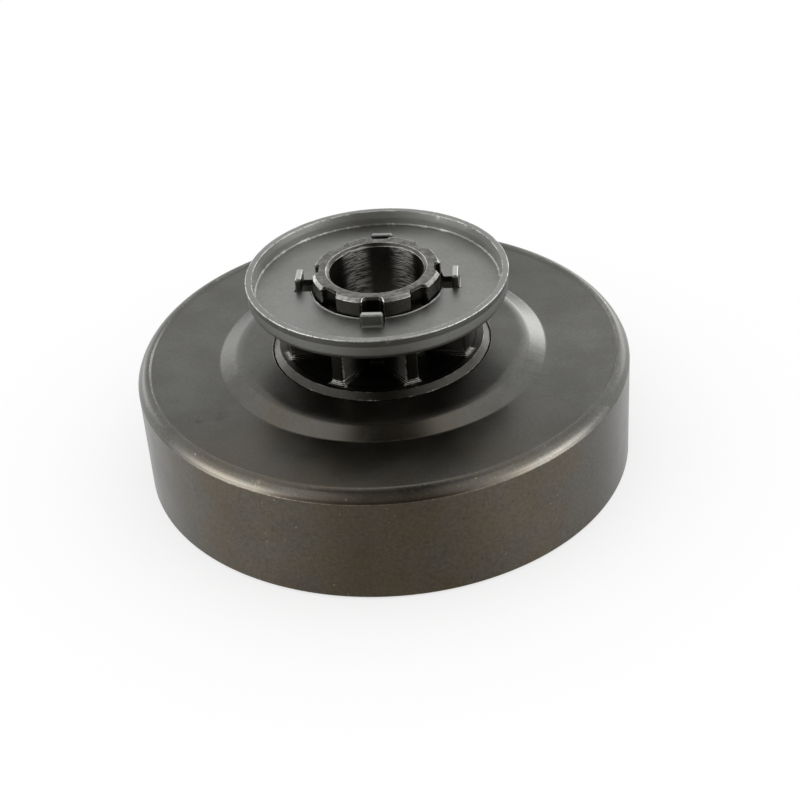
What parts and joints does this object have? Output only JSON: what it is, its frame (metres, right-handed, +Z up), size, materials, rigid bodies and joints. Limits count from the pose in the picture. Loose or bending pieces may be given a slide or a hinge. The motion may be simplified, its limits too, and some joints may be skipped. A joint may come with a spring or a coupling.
{
  "type": "chainsaw clutch drum with star sprocket",
  "caption": "Steel clutch drum cup with a star sprocket on its web, a notched hub with a bearing bore, and a dished cover plate with bent-up drive lugs that keeps the saw chain on the teeth.",
  "frame": {"origin": "centre of the drum's open rim, on the surface that it stands on", "axes": "+Z up the bore towards the hub's end, +X and +Y through the cover plate's lugs"},
  "size_m": [0.09, 0.09, 0.0386],
  "materials": {
    "drum_steel": "dark oxidised steel, satin, with a warm heat tint",
    "sprocket_steel": "dark hardened steel with bright worn edges",
    "plate_steel": "satin grey pressed sheet with a bright sheared rim"
  },
  "bodies": {
    "root": {"clutch_drum": "drum_steel", "sprocket": "sprocket_steel", "cover_plate": "plate_steel"}
  },
  "joints": []
}
